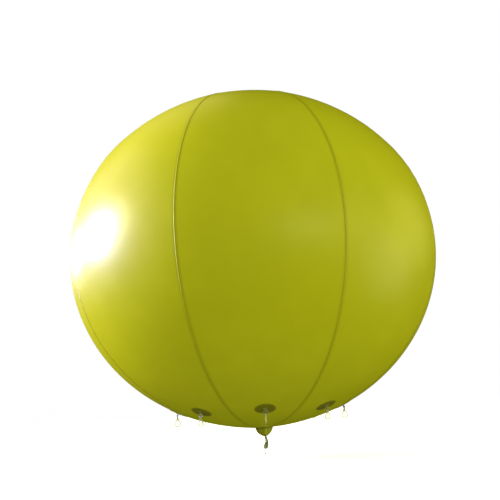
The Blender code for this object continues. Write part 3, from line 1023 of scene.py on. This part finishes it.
def section_of(width, thickness, points=24):
    """A flat section with round edges: places across and up it."""
    half, edge = width / 2 - thickness / 2, thickness / 2
    quarter = points // 4
    turns = [pi * (i / (2 * quarter - 1) - 0.5) for i in range(2 * quarter)]
    right_side = [(half + edge * cos(a), edge * sin(a)) for a in turns]
    return right_side + [(-x, -z) for x, z in right_side]


def strip_mesh(name, line, section, finish):
    """A section carried along a line in the YZ plane, with its along and across stored."""
    shape = bmesh.new()
    along_layer = shape.verts.layers.float.new("along")
    across_layer = shape.verts.layers.float.new("across")
    rows, run = [], 0.0
    for i, (y, z) in enumerate(line):
        before, after = line[max(i - 1, 0)], line[min(i + 1, len(line) - 1)]
        direction = (after - before).normalized()
        if i:
            run += (line[i] - line[i - 1]).length
        row = []
        for x, thick in section:
            spot = shape.verts.new((x, y - direction.y * thick, z + direction.x * thick))
            spot[along_layer], spot[across_layer] = run, x
            row.append(spot)
        rows.append(row)
    join_rows(shape, rows)
    shape.faces.new(rows[0])
    shape.faces.new(rows[-1])
    return mesh_of(name, shape, finish)


def join_rows(shape, rows):
    """Faces between rings of points that follow each other."""
    for first, second in zip(rows, rows[1:]):
        for j, here in enumerate(first):
            k = (j + 1) % len(first)
            shape.faces.new((here, first[k], second[k], second[j]))


def mesh_of(name, shape, finish):
    """End a shape made in mesh code: faces outwards, into a mesh with its finish."""
    bmesh.ops.recalc_face_normals(shape, faces=shape.faces)
    mesh = bpy.data.meshes.new(name)
    shape.to_mesh(mesh)
    shape.free()
    mesh.materials.append(finish)
    return mesh


tab_mesh = strip_mesh("tab", tab_path, section_of(TAB_WIDTH, WEBBING), TAB_WEBBING)
print("a tab has", len(tab_mesh.polygons), "faces")

# %% [markdown]
# All eight tabs stay on the balloon when the rings swing, so they can be one mesh. Joining
# objects with an operator needs the right selection, which a script can easily get wrong.
# Here the one tab is copied into a single mesh, turned round the axis for each gore. Only
# its sharp folds keep a hard edge.

# %% Webbing tabs
SHARP_FOLD = radians(50)


def eight_of(name, mesh, extra):
    """One mesh of eight turned copies."""
    shape = bmesh.new()
    for number in range(GORES):
        copy = mesh.copy()
        copy.transform(Matrix.Rotation(number * GORE_TURN, 4, "Z") @ extra)
        shape.from_mesh(copy)
        bpy.data.meshes.remove(copy)
    whole = bpy.data.meshes.new(name)
    shape.to_mesh(whole)
    shape.free()
    whole.shade_smooth()
    whole.set_sharp_from_angle(angle=SHARP_FOLD)
    whole.materials.append(mesh.materials[0])
    return link(name, whole)


tabs = eight_of("webbing_tabs", tab_mesh, patch_frame())
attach(tabs, "balloon")
print("webbing_tabs", len(tabs.data.polygons), "faces")

# %% [markdown]
# Three rows of stitches sew each foot of a tab to its disc. They could be copied about by hand,
# but there are 288 of them. A stitch is a tiny pulled-down bead, and Geometry Nodes set one on
# every point of a small grid, then repeat it for the other foot and for the eight patches.
# A bead that small needs only a few faces.

# %% Stitches
STITCH_ROWS = 3
STITCHES = 6
STITCH_PITCH = 0.0029
ROW_PITCH = 0.0033
FIRST_ROW = 0.0050
FOOT_TOP = PATCH_TOP + WEBBING
THREAD_DARK, THREAD_PALE = (0.30, 0.30, 0.10), (0.50, 0.50, 0.24)


def thread_finish():
    finish, tree, shader = new_finish("stitch_thread", Roughness=0.6)
    tone = noise(tree, object_place(tree), scale=300.0)
    feed(tree, shader, Base_Color=mixed(tree, tone, THREAD_DARK, THREAD_PALE))
    return finish


def make_stitches():
    plan = Plan("tab_stitches", Finish=thread_finish(), Gores=GORES, Rows=STITCH_ROWS,
                Stitches=STITCHES, Pitch=STITCH_PITCH, Row_pitch=ROW_PITCH, Length=0.0011,
                Thickness=0.0003)
    dots = plan.grid(plan["Pitch"] * (STITCHES - 1), plan["Row pitch"] * (STITCH_ROWS - 1),
                     plan["Stitches"], plan["Rows"])[0]
    bead = plan.add("GeometryNodeMeshUVSphere", {}, {"Segments": 8, "Rings": 5, "Radius": 1.0})[0]
    size = plan.vector(plan["Length"], plan["Thickness"], plan["Thickness"])
    bead = plan.add("GeometryNodeTransform", {}, {"Geometry": bead, "Scale": size})[0]
    sewn = plan.add("GeometryNodeInstanceOnPoints", {}, {"Points": dots, "Instance": bead})[0]
    centre = FIRST_ROW + ROW_PITCH * (STITCH_ROWS - 1) / 2
    feet = plan.add("GeometryNodeJoinGeometry")
    for side in (1, -1):
        foot = plan.add("GeometryNodeTransform", {}, {
            "Geometry": sewn, "Translation": (0.0, side * centre, FOOT_TOP)})[0]
        plan.tree.links.new(foot.socket, feet.node.inputs[0])
    patch_place = patch_frame()
    turned = plan.add("GeometryNodeTransform", {}, {
        "Geometry": feet[0], "Translation": patch_place.translation,
        "Rotation": patch_place.to_euler()})[0]
    return made_from(plan, repeated(plan, turned))


stitches = make_stitches()
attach(stitches, "balloon")

# %% [markdown]
# The rings are bent from zinc plated steel wire: a straight bar that the tab holds, two short
# sides and a half-round bow. A torus could be cut and stretched, but a wire is just a tube along
# its bent line, so the cords' function makes it, with no braid. Zinc is dull and
# slightly smeared, so its gloss is uneven and low.

# %% D-shaped rings
RING_CORNER = 0.0022
ZINC_DARK, ZINC_PALE = (0.46, 0.46, 0.42), (0.58, 0.58, 0.54)


def steel_finish():
    finish, tree, shader = new_finish("ring_steel", Metallic=0.8)
    place = object_place(tree)
    smears = noise(tree, place, scale=160.0, detail=3.0)
    scratches = noise(tree, place, scale=1500.0)
    colour = mixed(tree, smears, ZINC_DARK, ZINC_PALE)
    scratched = bumped(tree, scratches, strength=0.08, distance=0.0001)
    feed(tree, shader, Base_Color=colour, Roughness=0.42 + smears * 0.2, Normal=scratched)
    return finish


def ring_route():
    """Closed line of the wire at ring 0: bar, corner, side, bow, side and corner."""
    width, corner = RING_HALF_WIDTH, RING_CORNER
    line = arc((width - corner, corner), corner, -pi / 2, 0.0, 6)
    line += arc((0.0, RING_SIDE), width, 0.0, pi, 32)[1:]
    line += arc((corner - width, corner), corner, pi, 3 * pi / 2, 6)[1:]
    return [PIN_PLACES[0] + Vector((x, 0.0, -y)) for x, y in line]


ring_pattern = make_tube("ring_pattern", ring_route(), WIRE_RADIUS, steel_finish(), sides=20,
                         step=0.0006, closed=True)
for number in range(GORES):
    ring = ride_round(ring_pattern, "wire_ring", number)
    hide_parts(f"ring_{number}")
bpy.data.objects.remove(ring_pattern)
print("a ring is", round(2000 * (RING_HALF_WIDTH + WIRE_RADIUS), 1), "mm wide")

# %% [markdown]
# The crown disc closes the top, where the eight points of the gores meet. It is welded like
# the patches, with a round edge and two pressed rings. It is a turned piece, so a profile with
# a Screw modifier would make it. The neck further down isn't quite round, though, so both are
# skinned by one function from rings of points, each end closed to a pole.

# %% Skins from rings of points


def skin(name, rows, finish, folds=()):
    """A closed skin over rings of points; each end is gathered to a pole."""
    shape = bmesh.new()
    layer = shape.verts.layers.float.new("fold")
    made = [[shape.verts.new(point) for point in row] for row in rows]
    for row, values in zip(made, folds):
        for spot, value in zip(row, values):
            spot[layer] = value
    join_rows(shape, made)
    for row in (made[0], made[-1]):
        pole = shape.verts.new(sum((spot.co for spot in row), Vector()) / len(row))
        for a, b in zip(row, row[1:] + row[:1]):
            shape.faces.new((a, b, pole))
    mesh = mesh_of(name, shape, finish)
    mesh.shade_smooth()
    print(name, len(mesh.polygons), "faces")
    return link(name, mesh)


def circle(radius, z, points=96):
    turns = [2 * pi * i / points for i in range(points)]
    return [(radius * cos(a), radius * sin(a), z) for a in turns]


print("skin function ready")

# %% [markdown]
# The disc's rings of points run up its edge, over a small rounding, and across the face to
# the middle. The pressed rings could be a bump, but they catch the light from the side, so the
# face is really sunk there, by a soft bell in the height.

# %% Crown disc
CROWN_RADIUS = 0.060
CROWN_SKIRT = 0.004                         # how far its edge goes under the pole's height
CROWN_ROUND = 0.0012
CROWN_STEPS = 48
PRESSED_RINGS = (0.050, 0.018)
PRESSED_DEPTH, PRESSED_WIDTH = 0.0007, 0.0012


def crown_rows():
    top = HALF_HEIGHT + CROWN_TOP
    rows = [circle(CROWN_RADIUS, HALF_HEIGHT - CROWN_SKIRT)]
    for a in (0.0, pi / 8, pi / 4, 3 * pi / 8, pi / 2):
        rows.append(circle(CROWN_RADIUS - CROWN_ROUND * (1 - cos(a)),
                           top - CROWN_ROUND * (1 - sin(a))))
    for i in range(1, CROWN_STEPS):
        reach = (CROWN_RADIUS - CROWN_ROUND) * (1 - i / CROWN_STEPS)
        sunk = sum(PRESSED_DEPTH * exp(-((reach - ring) / PRESSED_WIDTH) ** 2)
                   for ring in PRESSED_RINGS)
        rows.append(circle(reach, top - sunk))
    return rows


def crown_finish():
    finish, tree, shader = new_finish("crown_film", IOR=FILM_INDEX, Specular_Tint=FILM_MIRROR)
    clouds = noise(tree, object_place(tree), scale=30.0, detail=3.0)
    colour = mixed(tree, clouds, SEAM_COLOUR, FILM_DEEP)
    uneven = bumped(tree, clouds, strength=0.05, distance=0.001)
    feed(tree, shader, Base_Color=colour, Roughness=0.34 + clouds * 0.1, Normal=uneven)
    return finish


crown = skin("crown_cap", crown_rows(), crown_finish())
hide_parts("crown_disc")
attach(crown, "balloon")

# %% [markdown]
# The filling neck is a short tube of the same film. It is welded on round the bottom pole,
# gathered into pleats, lashed shut, and its open end flares below the lashing. A cloth
# simulation could gather it, but gives other folds each time. So a table gives the neck's
# radius and the depth of its pleats at a few heights, and a smooth curve runs through them.

# %% Shape of the neck
NECK_SECTIONS = [
    {"z": -0.9150, "x": 0.0110, "radius": 0.0465, "pleat": 0.00},
    {"z": -0.9270, "x": 0.0110, "radius": 0.0465, "pleat": 0.01},
    {"z": -0.9375, "x": 0.0110, "radius": 0.0430, "pleat": 0.015},
    {"z": -0.9475, "x": 0.0112, "radius": 0.0370, "pleat": 0.035},
    {"z": -0.9555, "x": 0.0116, "radius": 0.0295, "pleat": 0.060},
    {"z": -0.9620, "x": 0.0125, "radius": 0.0205, "pleat": 0.100},
    {"z": -0.9680, "x": 0.0145, "radius": 0.0110, "pleat": 0.18},
    {"z": -0.9720, "x": 0.0160, "radius": 0.0048, "pleat": 0.10},
    {"z": -0.9960, "x": 0.0235, "radius": 0.0048, "pleat": 0.10},
    {"z": -1.0020, "x": 0.0215, "radius": 0.0078, "pleat": 0.22},
    {"z": -1.0120, "x": 0.0180, "radius": 0.0104, "pleat": 0.26},
    {"z": -1.0260, "x": 0.0150, "radius": 0.0102, "pleat": 0.26},
    {"z": -1.0350, "x": 0.0140, "radius": 0.0090, "pleat": 0.26},
]
NECK_ROWS = 110
neck_keys = [Vector((s["x"], s["radius"], s["pleat"], s["z"])) for s in NECK_SECTIONS]
neck_curve = smooth_route(neck_keys, NECK_ROWS)
print("neck from", round(neck_curve[0][3], 3), "to", round(neck_curve[-1][3], 3))

# %% [markdown]
# Film folds into pleats with sharp outer creases, never quite even. A plain sine would look
# like fluting. So the wave is a sine without its sign, which has creases, and two slow sines
# shift it along. Below the throat the rings run down the outside and back up the inside, which
# leaves the neck's end open, as on the real one, where a hose was pulled out.

# %% Pleats and rings of points
NECK_POINTS = 160
PLEATS = 14
CREASE_POWER = 0.8                          # below 1 a crease is sharper
COLLAR_LOW = -0.9290
COLLAR_HEIGHT = 0.0008
THROAT_LOW = -0.9990                        # the neck is open below this height
FILM_THICKNESS = 0.0006
THINNEST = 0.001
LIP = 0.0002                                # the inner wall stops this far above the hem
HEM_LOW = -1.030                            # the hem is uneven below this height
FOLD_GAIN = 12                              # how soon a growing pleat counts as a full fold


def pleat_wave(angle, z):
    """Folds round the neck, uneven and with sharp outer creases."""
    turn = angle + pi / 2
    drift = 0.35 * sin(3 * turn + 6 * (z + 0.95)) + 0.2 * sin(2 * turn)
    return 1 - 2 * abs(sin(PLEATS / 2 * turn + drift)) ** CREASE_POWER


def hem_wave(angle, z):
    """The hem's unevenness: two waves round it, 1.5 mm and 1 mm high."""
    return 0.0015 * sin(2 * angle + 1.0) + 0.001 * sin(5 * angle) if z < HEM_LOW else 0.0


def neck_ring(x, radius, pleat, z):
    """One ring of points, and how far out in a fold each of them is."""
    row, fold = [], []
    for i in range(NECK_POINTS):
        angle = 2 * pi * i / NECK_POINTS
        wave = pleat_wave(angle, z)
        reach = radius * (1 + pleat * wave)
        height = z + hem_wave(angle, z)
        row.append(Vector((x + reach * cos(angle), reach * sin(angle), height)))
        fold.append(0.5 + 0.5 * wave * min(pleat * FOLD_GAIN, 1.0))
    return row, fold


def neck_rings():
    made = []
    for x, radius, pleat, z in neck_curve:
        collar = COLLAR_HEIGHT if z > COLLAR_LOW else 0.0
        made.append(neck_ring(x, radius + collar, pleat, z))
    for x, radius, pleat, z in reversed(neck_curve):
        if z < THROAT_LOW:
            inner = max(radius - FILM_THICKNESS, THINNEST)
            made.append(neck_ring(x, inner, pleat, z + LIP))
    return zip(*made)


neck_rows, neck_folds = neck_rings()
print("neck has", len(neck_rows), "rings of", NECK_POINTS, "points")

# %% [markdown]
# The neck is the envelope's film. Its finish paints shade deep in its folds, at the gathered
# throat and on the side away from the light. It paints highlights on its right side and on its
# front crease, and paints its loose end paler, as light shining through. The weld line round
# its top is dark. Each of these is a mask, and the masks mix a few tones.

# %% Neck
NECK_COLOUR = (0.285, 0.292, 0.008)
NECK_SHADE = (0.165, 0.170, 0.005)
NECK_WELD_AND_SHADE = (0.060, 0.070, 0.001)
NECK_HIGHLIGHT = (0.400, 0.420, 0.040)
FILM_END = (0.290, 0.315, 0.190)
WELD_LINE, WELD_WIDTH = -0.9250, 0.0028
CREASE_LINE, CREASE_WIDTH = 0.0185, 0.0045
LEFT_SIDE = (-0.030, -0.012)                # X between which the left side's shade fades
RIGHT_SIDE = (0.010, 0.022)
THROAT = (-0.970, -0.960)                   # heights between which the throat's shade fades
LOOSE_END = (-1.004, -0.996)


def neck_finish():
    finish, tree, shader = new_finish("neck_gathers", IOR=FILM_INDEX, Specular_Tint=FILM_MIRROR)
    place = object_place(tree)
    clouds = noise(tree, place, scale=120.0, detail=3.0)
    parts = add_node(tree, "ShaderNodeSeparateXYZ", {}, {0: place})
    side, height = parts[0], parts[2]
    # a dark weld line, with painted shade on the left side and at the throat
    weld_line_and_shade = (height.bell(WELD_LINE, WELD_WIDTH) + (1 - side.within(*LEFT_SIDE))
            + (1 - height.within(*THROAT)))
    # painted highlight on the right side and along the front crease
    painted_highlight = side.within(*RIGHT_SIDE) * 0.35 + side.bell(CREASE_LINE, CREASE_WIDTH) * 0.5
    # painted shade deep in the folds, with a little random tone
    fold_shade_and_tone = attribute(tree, "fold") * 0.85 + clouds * 0.15
    colour = mixed(tree, fold_shade_and_tone, NECK_SHADE, NECK_COLOUR)
    colour = mixed(tree, painted_highlight, colour, NECK_HIGHLIGHT)
    colour = mixed(tree, weld_line_and_shade * 0.6, colour, NECK_WELD_AND_SHADE)
    # painted light: the loose end is paler, as light shining through the film
    colour = mixed(tree, 1 - height.within(*LOOSE_END), colour, FILM_END)
    crumpled = bumped(tree, clouds, strength=0.15, distance=0.0006)
    feed(tree, shader, Base_Color=colour, Roughness=0.34 + clouds * 0.15, Normal=crumpled)
    return finish


neck = skin("filling_neck", neck_rows, neck_finish(), neck_folds)
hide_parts("neck")
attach(neck, "balloon")

# %% [markdown]
# A cord is wound side by side down the throat, and tied off on the front, where its end hangs
# from the knot. A stack of rings would look alike from far off, but its ends wouldn't meet. So
# the lashing is one line, a helix about the throat's leaning axis, and the cords' function
# makes it. The knot is the small trefoil again.

# %% Lashing
THROAT_TOP = Vector((0.0160, 0.0, -0.9720))
THROAT_BOTTOM = Vector((0.0235, 0.0, -0.9960))
LASHING_RADIUS = 0.00115
LASHING_TURNS = 9
LASHING_PITCH = 0.006                       # of its strands
WOUND_RADIUS = 0.0060
FIRST_TURN, LASHED_SHARE = 0.07, 0.84       # of the throat's length
KNOT_PLACE = TAIL_ROUTE[0] + Vector((0.001, 0.0005, 0.001))
KNOT_SIZE = 0.0010
KNOT_RADIUS = 0.0013


def lashing_route(steps=28):
    """A helix round the throat's leaning axis."""
    axis = (THROAT_BOTTOM - THROAT_TOP).normalized()
    side = axis.cross(Vector((0.0, 1.0, 0.0))).normalized()
    front = axis.cross(side)
    points = []
    for i in range(LASHING_TURNS * steps + 1):
        angle = 2 * pi * i / steps
        share = FIRST_TURN + LASHED_SHARE * i / (LASHING_TURNS * steps)
        centre = THROAT_TOP.lerp(THROAT_BOTTOM, share)
        points.append(centre + (side * cos(angle) + front * sin(angle)) * WOUND_RADIUS)
    return points


lashing = make_tube("wound_lashing", lashing_route(), LASHING_RADIUS, GREY_CORD, sides=14,
                    step=0.0007, depth=0.0003, strands=4, pitch=LASHING_PITCH)
lashing_knot = make_tube("lashing_knot", knot_route(KNOT_PLACE, KNOT_SIZE), KNOT_RADIUS,
                         GREY_CORD, sides=16, step=0.0007, depth=0.0003, strands=4,
                         pitch=LASHING_PITCH, closed=True)
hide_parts("neck_lashing")
for piece in (lashing, lashing_knot):
    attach(piece, "balloon")
print("lashing of", round(length_of(lashing_route()) * 1000), "mm")

# %% [markdown]
# The balloon stands against plain white. A photographer would hang up a white cloth and light
# it apart from the subject. The world does the same here. The camera sees it as plain white,
# while the light it throws on the balloon is yellowish and weaker from below. The film doesn't
# mirror it at all, because a mirrored white world would wash its colour out.

# %% World
LOWER_LIGHT = 0.63
LEVEL_LIGHT = 1.0
OVERHEAD_LIGHT = 0.93
BELOW_HORIZON = (-0.6, 0.05)                # slopes between which the light grows to level
OVERHEAD = (0.5, 0.9)                       # and from level to overhead
WHITE = (1.0, 1.0, 1.0)
WARM_WORLD = (1.0, 1.0, 0.52)


def make_world():
    world = bpy.data.worlds.new("studio")
    bpy.context.scene.world = world
    world.use_nodes = True
    world.cycles_visibility.glossy = False
    tree = world.node_tree
    background = tree.nodes["Background"]
    direction = add_node(tree, "ShaderNodeTexCoord")["Generated"]
    slope = add_node(tree, "ShaderNodeSeparateXYZ", {}, {0: direction})[2]
    strength = (LOWER_LIGHT + slope.within(*BELOW_HORIZON) * (LEVEL_LIGHT - LOWER_LIGHT)
                + slope.within(*OVERHEAD) * (OVERHEAD_LIGHT - LEVEL_LIGHT))
    seen = add_node(tree, "ShaderNodeLightPath")["Is Camera Ray"]
    tree.links.new(strength.socket, background.inputs["Strength"])
    tree.links.new(mixed(tree, seen, WARM_WORLD, WHITE).socket, background.inputs["Color"])


make_world()
print("world light", LOWER_LIGHT, "from below and", OVERHEAD_LIGHT, "from above")

# %% [markdown]
# Under the balloon lies a pale floor, just below the hanging cord. A shadow catcher would show
# the balloon's shadow, but the photograph has none. So the floor is a wide plane that glows
# faintly, to be as white as the world, and that neither lights the film nor shows in it.

# %% Floor
FLOOR_DROP = 0.03
FLOOR_REACH = 60.0
FLOOR_WHITE = (0.95, 0.95, 0.95, 1.0)
FLOOR_GLOW = 0.65


def make_floor():
    shape = bmesh.new()
    bmesh.ops.create_grid(shape, x_segments=8, y_segments=8, size=FLOOR_REACH)
    mesh = bpy.data.meshes.new("floor")
    shape.to_mesh(mesh)
    shape.free()
    mesh.transform(Matrix.Translation((0.0, 0.0, cad_low.z - FLOOR_DROP)))
    floor = link("floor", mesh)
    finish = new_finish("pale_floor", Base_Color=FLOOR_WHITE, Roughness=0.9,
                        Specular_IOR_Level=0.0, Emission_Color=(*WHITE, 1.0),
                        Emission_Strength=FLOOR_GLOW)[0]
    mesh.materials.append(finish)
    floor.visible_glossy = False
    floor.visible_diffuse = False
    floor.visible_shadow = False


make_floor()
print("floor at", round(cad_low.z - FLOOR_DROP, 3))

# %% [markdown]
# Soft lamps draw the gloss of the film. One strong lamp would give the white spot at the left,
# but not the glow round it or the pale areas at the right. So four key lamps aim at the
# place where the film shows the spot, and five weak ones add the rest. Each is placed by its
# direction from the point it aims at. In the photograph the spot is white and fades to a deep
# yellow. White lamps don't give that on this film, so the lamps are tinted.

# %% Soft lamps
KEY_SPOT = (-0.774, -0.634, 0.037)
UPPER_LEFT = (-0.3, -0.1, 0.6)
RIGHT_FLANK = (0.8, 0.0, 0.0)
LOW_RIGHT = (0.8, -0.2, -0.3)
FRONT_RIGHT = (0.6, -0.5, 0.0)
FRONT = (0.24, -0.97, -0.04)
LAMPS = [
    # name, azimuth, elevation, aim, distance, width, height, power and colour
    ("key", -72.2, 14.0, KEY_SPOT, 4.0, 1.2, 1.2, 400.0, (0.38, 0.38, 1.0)),
    ("key_upper", -80.0, 21.0, KEY_SPOT, 4.0, 1.2, 1.0, 134.0, (1.0, 0.83, 0.68)),
    ("key_rear", -42.0, 9.0, KEY_SPOT, 4.0, 1.6, 1.0, 50.0, (0.90, 0.76, 1.0)),
    ("key_wide", -72.2, 22.0, KEY_SPOT, 4.0, 5.4, 5.4, 112.0, (1.0, 0.77, 0.80)),
    ("upper_rear", -35.0, 55.0, UPPER_LEFT, 4.5, 3.5, 3.5, 29.0, (1.0, 0.83, 0.30)),
    ("right", 80.0, 12.0, RIGHT_FLANK, 5.0, 3.5, 3.0, 34.0, (1.0, 0.85, 0.30)),
    ("right_low", 98.0, -6.0, LOW_RIGHT, 5.0, 3.0, 3.0, 42.0, (1.0, 1.0, 0.70)),
    ("right_front", 122.0, 10.0, FRONT_RIGHT, 5.0, 3.6, 3.0, 36.0, (1.0, 0.82, 0.45)),
    ("sheen", 152.0, 7.5, FRONT, 5.5, 3.2, 0.8, 38.0, (0.93, 1.0, 0.76)),
]


def add_lamp(name, azimuth, elevation, aim, distance, width, height, power, colour):
    """A soft lamp at an azimuth and an elevation, in degrees, from the point it aims at."""
    azimuth, elevation = radians(azimuth), radians(elevation)
    level = Vector((sin(azimuth), cos(azimuth), 0.0)) * cos(elevation)
    towards = level + Vector((0.0, 0.0, sin(elevation)))
    light = bpy.data.lights.new(name, "AREA")
    light.shape = "ELLIPSE"
    light.size, light.size_y = width, height
    light.energy = power
    light.color = colour
    lamp = link(name, light)
    lamp.location = Vector(aim) + towards * distance
    lamp.rotation_euler = towards.to_track_quat("Z", "Y").to_euler()
    lamp.visible_camera = False


for lamp_line in LAMPS:
    add_lamp(*lamp_line)
bpy.context.scene.view_settings.view_transform = "Standard"
print(len(LAMPS), "lamps of", round(sum(line[7] for line in LAMPS)), "W together")
